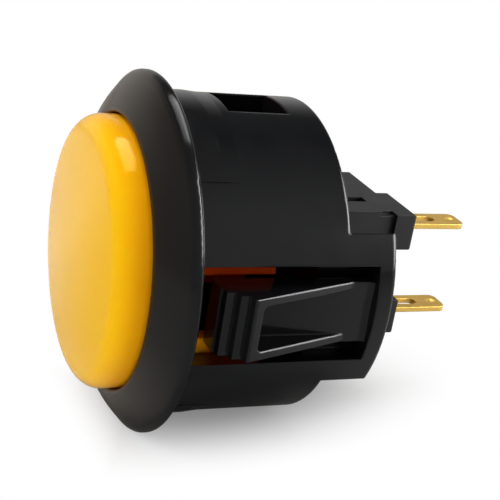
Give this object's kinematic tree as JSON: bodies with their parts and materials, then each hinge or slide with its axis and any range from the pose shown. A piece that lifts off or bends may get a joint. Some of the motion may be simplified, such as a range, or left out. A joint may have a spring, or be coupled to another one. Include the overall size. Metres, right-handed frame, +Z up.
{
  "type": "push button",
  "caption": "Snap-in arcade push button: a domed plunger in a round bezel, stepped spring arms that grip a panel hole, and a switch with blade terminals at the rear.",
  "frame": {"origin": "centre of the panel hole, in the plane of the bezel's underside, which is the front of the panel", "axes": "+Y along the button's axis, from the plunger to the terminals, so the plunger faces -Y; +Z up, along the line of the two terminals; the snap arms on +X and -X"},
  "size_m": [0.034, 0.038, 0.0332],
  "materials": {
    "housing_black": "glossy black moulding",
    "plunger_amber": "glossy amber moulding",
    "switch_black": "satin black moulding",
    "actuator_white": "natural white moulding",
    "terminal_brass": "stamped brass",
    "contact_silver": "silver contact alloy",
    "spring_steel": "bright spring wire"
  },
  "bodies": {
    "housing": {"housing": "housing_black", "switch_base": "switch_black", "switch_cover": "switch_black", "terminal_upper": "terminal_brass", "terminal_lower": "terminal_brass", "fixed_contacts": "contact_silver", "return_spring": "spring_steel"},
    "plunger": {"plunger": "plunger_amber"},
    "actuator": {"actuator": "actuator_white", "contact_bridge": "terminal_brass", "moving_contacts": "contact_silver"}
  },
  "joints": [
    {"name": "plunger_press", "type": "slide", "parent": "housing", "child": "plunger", "axis": [0, 1, 0], "range_m": [0, 0.0024], "stiffness_N_per_m": 150, "springref_m": -0.004},
    {"name": "actuator_slide", "type": "slide", "parent": "housing", "child": "actuator", "axis": [0, 1, 0], "range_m": [0, 0.0024], "deforming": ["return_spring"]}
  ],
  "couplings": [
    {"joint": "actuator_slide", "follows": "plunger_press", "ratio": 1}
  ]
}
